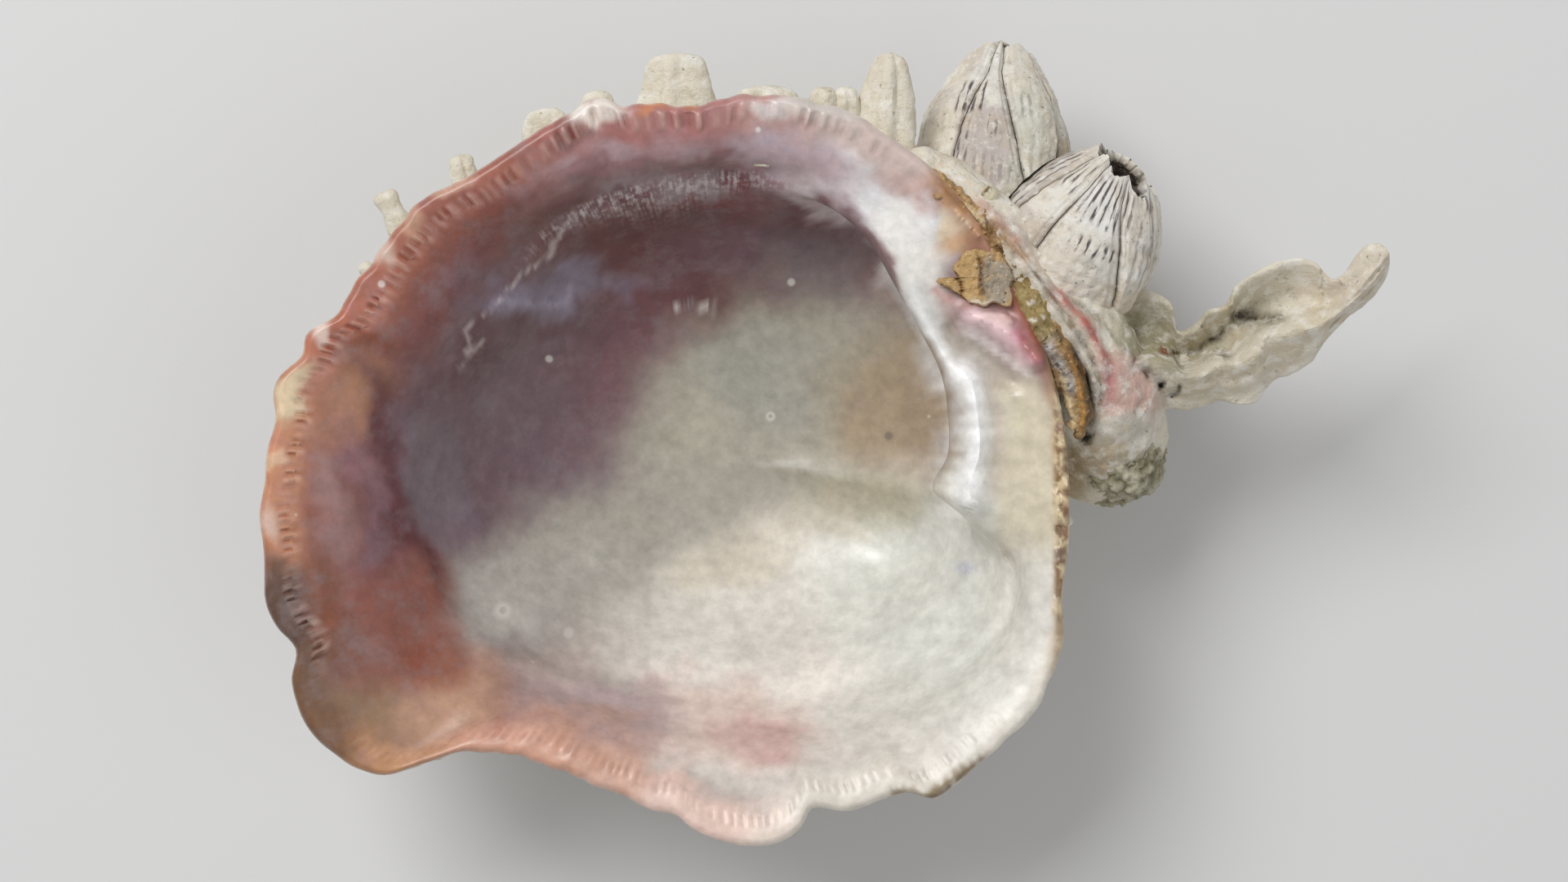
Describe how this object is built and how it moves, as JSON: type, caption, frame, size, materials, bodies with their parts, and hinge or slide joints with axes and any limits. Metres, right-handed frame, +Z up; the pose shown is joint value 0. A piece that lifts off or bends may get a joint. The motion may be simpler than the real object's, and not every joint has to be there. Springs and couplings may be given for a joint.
{
  "type": "seashell",
  "caption": "Deep oyster-like seashell valve lying cavity up, with worn rim spines, a toothed hinge, a long curled frond and acorn barnacles grown on its beak.",
  "frame": {"origin": "middle of the attachment scar's resting patch, on the plane it rests on", "axes": "+X from the cavity across the hinge towards the long frond, the longest way; +Y towards the spined margin; +Z up, out of the open cavity"},
  "size_m": [0.1178, 0.0842, 0.0345],
  "materials": {
    "shell": "glossy",
    "ligament": "dried, scaly",
    "flake": "rough",
    "crust": "rough",
    "barnacle": "chalky",
    "operculum": "rough"
  },
  "bodies": {
    "root": {"valve": "shell", "ligament": "ligament", "hinge_flake": "flake", "beak_crust": "crust", "worm_tube": "crust", "barnacle_low_basis": "barnacle", "barnacle_low_rostrum": "barnacle", "barnacle_low_lateral_left": "barnacle", "barnacle_low_carinolateral_left": "barnacle", "barnacle_low_carina": "barnacle", "barnacle_low_carinolateral_right": "barnacle", "barnacle_low_lateral_right": "barnacle", "barnacle_high_basis": "barnacle", "barnacle_high_rostrum": "barnacle", "barnacle_high_lateral_left": "barnacle", "barnacle_high_carinolateral_left": "barnacle", "barnacle_high_carina": "barnacle", "barnacle_high_carinolateral_right": "barnacle", "barnacle_high_lateral_right": "barnacle", "barnacle_high_operculum": "operculum"}
  },
  "joints": []
}
